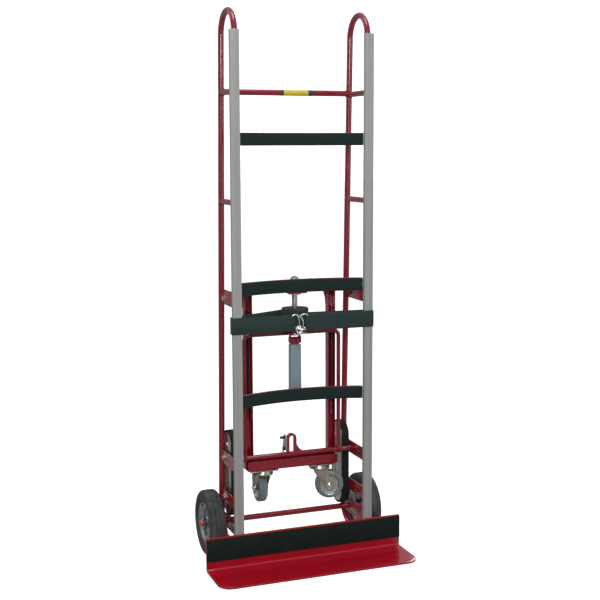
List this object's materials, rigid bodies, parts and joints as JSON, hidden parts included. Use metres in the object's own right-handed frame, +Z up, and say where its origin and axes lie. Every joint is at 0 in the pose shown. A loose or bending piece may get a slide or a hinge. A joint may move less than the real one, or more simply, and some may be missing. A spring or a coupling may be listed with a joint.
{
  "type": "convertible hand truck",
  "caption": "Upright appliance hand truck with toe plate, strap-covered cross members, load belt with ratchet, stair climbers and a kick-out caster frame.",
  "frame": {"origin": "floor point under the middle of the truck's bounding box", "axes": "+Z up, +Y towards the operator, the load leans on the -Y side, +X to the right seen from the load side"},
  "size_m": [0.635, 0.408, 1.6626],
  "materials": {
    "red_enamel": "glossy enamel over steel",
    "toe_enamel": "glossy enamel over steel plate",
    "rail_grey": "satin grey vinyl cover",
    "strap_webbing": "tight woven webbing, dark green",
    "belt_webbing": "woven polyester webbing, dark green",
    "black_rubber": "matte moulded rubber",
    "wheel_tyre": "matte moulded rubber",
    "black_plastic": "satin moulded plastic",
    "caster_rubber": "satin grey rubber",
    "zinc_plate": "zinc plated steel",
    "chrome_plate": "bright plated steel",
    "grip_vinyl": "dipped vinyl, blue grey"
  },
  "bodies": {
    "frame": {"axle": "red_enamel", "axle_bracket_left": "red_enamel", "axle_bracket_right": "red_enamel", "belt_coil": "belt_webbing", "belt_hook": "chrome_plate", "climber_belt_left": "black_rubber", "climber_belt_right": "black_rubber", "climber_bracket_lower_left": "red_enamel", "climber_bracket_lower_right": "red_enamel", "climber_bracket_upper_left": "red_enamel", "climber_bracket_upper_right": "red_enamel", "climber_frame_left": "zinc_plate", "climber_frame_right": "zinc_plate", "crossbar": "red_enamel", "crossmember_lower": "red_enamel", "crossmember_middle": "red_enamel", "crossmember_top": "red_enamel", "kickout_pivot_rod": "zinc_plate", "load_belt_left": "belt_webbing", "load_belt_right": "belt_webbing", "pivot_bracket_left": "red_enamel", "pivot_bracket_right": "red_enamel", "rail_cover_left": "rail_grey", "rail_cover_right": "rail_grey", "ratchet_bracket": "red_enamel", "side_tube_left": "red_enamel", "side_tube_right": "red_enamel", "stay_tube": "red_enamel", "strap_lower": "strap_webbing", "strap_middle": "strap_webbing", "strap_top": "strap_webbing", "toe_plate": "toe_enamel", "toe_strip": "black_rubber"},
    "wheel_left": {"tyre_left": "wheel_tyre", "wheel_hub_left": "zinc_plate"},
    "wheel_right": {"tyre_right": "wheel_tyre", "wheel_hub_right": "zinc_plate"},
    "kickout": {"kickout_arm_left": "red_enamel", "kickout_arm_right": "red_enamel", "kickout_angle": "red_enamel", "caster_plate_left": "zinc_plate", "caster_plate_right": "zinc_plate"},
    "swivel_left": {"caster_fork_left": "zinc_plate"},
    "swivel_right": {"caster_fork_right": "zinc_plate"},
    "roller_left": {"caster_wheel_left": "caster_rubber"},
    "roller_right": {"caster_wheel_right": "caster_rubber"},
    "stay": {"stay_bail": "red_enamel"},
    "latch": {"latch_lever": "zinc_plate"},
    "spool": {"ratchet_shaft": "zinc_plate", "ratchet_wheel": "chrome_plate", "ratchet_yoke": "red_enamel"},
    "lever": {"ratchet_lever": "zinc_plate", "ratchet_grip": "grip_vinyl"},
    "pawl": {"ratchet_pawl": "zinc_plate"},
    "pulley_upper_left": {"climber_pulley_upper_left": "black_plastic"},
    "pulley_lower_left": {"climber_pulley_lower_left": "black_plastic"},
    "pulley_upper_right": {"climber_pulley_upper_right": "black_plastic"},
    "pulley_lower_right": {"climber_pulley_lower_right": "black_plastic"}
  },
  "joints": [
    {"name": "wheel_left_spin", "type": "hinge", "parent": "frame", "child": "wheel_left", "pos_m": [-0.2596, 0.1024, 0.1016], "axis": [1, 0, 0], "continuous": true},
    {"name": "wheel_right_spin", "type": "hinge", "parent": "frame", "child": "wheel_right", "pos_m": [0.2596, 0.1024, 0.1016], "axis": [1, 0, 0], "continuous": true},
    {"name": "kickout_swing", "type": "hinge", "parent": "frame", "child": "kickout", "pos_m": [0, 0.0834, 0.822], "axis": [1, 0, 0], "range_deg": [0, 45]},
    {"name": "stay_swing", "type": "hinge", "parent": "frame", "child": "stay", "pos_m": [0, 0.0634, 0.3045], "axis": [-1, 0, 0], "range_deg": [0, 15]},
    {"name": "latch_turn", "type": "hinge", "parent": "frame", "child": "latch", "pos_m": [-0.0215, 0.0634, 0.324], "axis": [1, 0, 0], "range_deg": [-50, 0]},
    {"name": "caster_swivel_left", "type": "hinge", "parent": "kickout", "child": "swivel_left", "pos_m": [-0.0955, 0.0754, 0.256], "axis": [0, 0, 1], "continuous": true},
    {"name": "caster_swivel_right", "type": "hinge", "parent": "kickout", "child": "swivel_right", "pos_m": [0.0955, 0.0754, 0.256], "axis": [0, 0, 1], "continuous": true},
    {"name": "caster_spin_left", "type": "hinge", "parent": "swivel_left", "child": "roller_left", "pos_m": [-0.09409, 0.10637, 0.195], "axis": [-0.999, 0.0454, 0], "continuous": true},
    {"name": "caster_spin_right", "type": "hinge", "parent": "swivel_right", "child": "roller_right", "pos_m": [0.12452, 0.06449, 0.195], "axis": [0.3518, 0.9361, 0], "continuous": true},
    {"name": "ratchet_spin", "type": "hinge", "parent": "frame", "child": "spool", "pos_m": [0, 0.0384, 0.78], "axis": [0, 0, 1], "continuous": true},
    {"name": "lever_fold", "type": "hinge", "parent": "spool", "child": "lever", "pos_m": [0, 0.0384, 0.672], "axis": [1, 0, 0], "range_deg": [0, 45]},
    {"name": "pawl_turn", "type": "hinge", "parent": "frame", "child": "pawl", "pos_m": [0.052, 0.0384, 0.853], "axis": [0, 0, 1], "range_deg": [0, 25], "stiffness_Nm_per_rad": 0.02, "springref_deg": -5.73},
    {"name": "pulley_upper_left_spin", "type": "hinge", "parent": "frame", "child": "pulley_upper_left", "pos_m": [-0.18565, 0.1184, 0.341], "axis": [1, 0, 0], "continuous": true},
    {"name": "pulley_lower_left_spin", "type": "hinge", "parent": "frame", "child": "pulley_lower_left", "pos_m": [-0.18565, 0.1184, 0.157], "axis": [1, 0, 0], "continuous": true},
    {"name": "pulley_upper_right_spin", "type": "hinge", "parent": "frame", "child": "pulley_upper_right", "pos_m": [0.18565, 0.1184, 0.341], "axis": [1, 0, 0], "continuous": true},
    {"name": "pulley_lower_right_spin", "type": "hinge", "parent": "frame", "child": "pulley_lower_right", "pos_m": [0.18565, 0.1184, 0.157], "axis": [1, 0, 0], "continuous": true}
  ],
  "couplings": [
    {"joint": "stay_swing", "follows": "kickout_swing", "ratio": 0.33},
    {"joint": "pulley_lower_left_spin", "follows": "pulley_upper_left_spin", "ratio": 1},
    {"joint": "pulley_lower_right_spin", "follows": "pulley_upper_right_spin", "ratio": 1}
  ]
}
